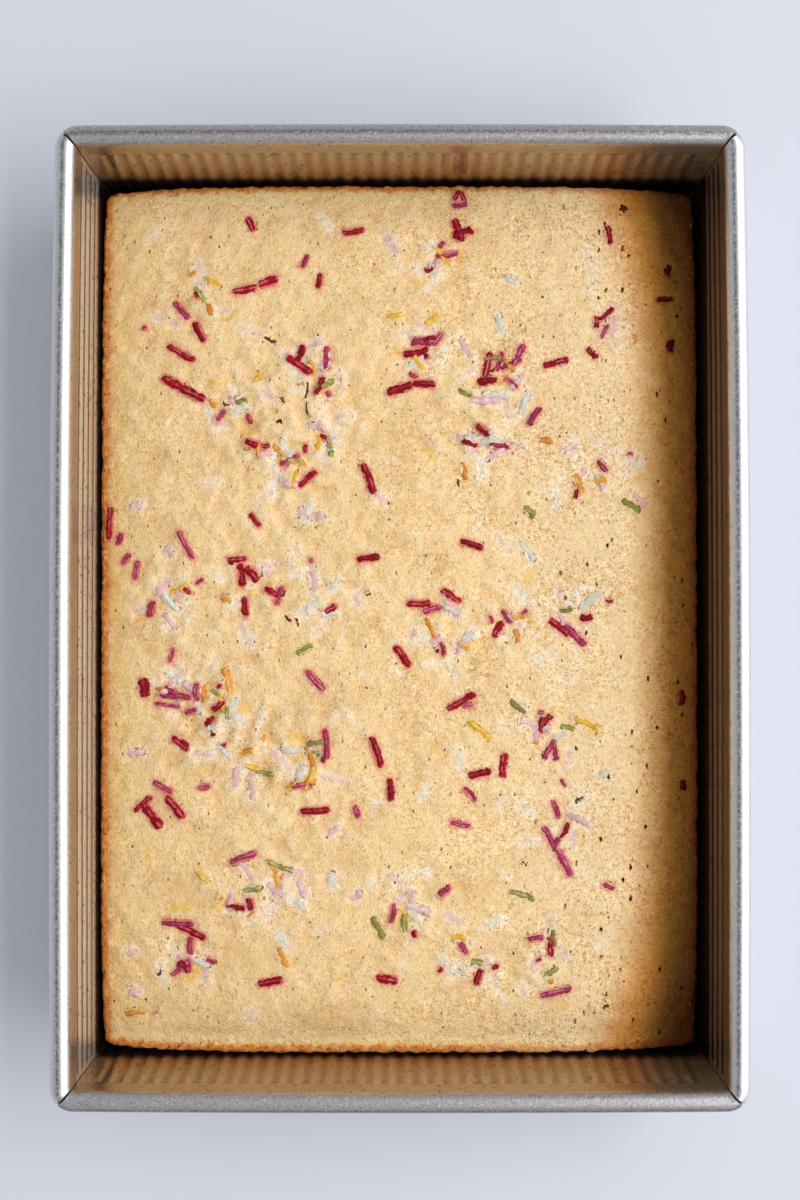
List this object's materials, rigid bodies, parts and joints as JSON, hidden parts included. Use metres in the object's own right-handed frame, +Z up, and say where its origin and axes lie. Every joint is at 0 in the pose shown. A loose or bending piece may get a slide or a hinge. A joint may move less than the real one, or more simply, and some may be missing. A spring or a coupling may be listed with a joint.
{
  "type": "sheet cake",
  "caption": "Flat sheet cake with short sugar sprinkles baked into its top, standing in its shallow rectangular metal tin with fluted walls and a rolled rim.",
  "frame": {"origin": "middle of the tin's underside, on the surface that it stands on", "axes": "+X across the tin, +Y along the tin, +Z up"},
  "size_m": [0.2502, 0.3528, 0.057],
  "materials": {
    "tin_sheet": "satin coated steel sheet, baked brown on the walls beside the cake",
    "cake_crumb": "dry pale golden crumb with fine pores, a browned edge and coloured sprinkles"
  },
  "bodies": {
    "root": {"baking_tin": "tin_sheet", "cake": "cake_crumb"}
  },
  "joints": []
}
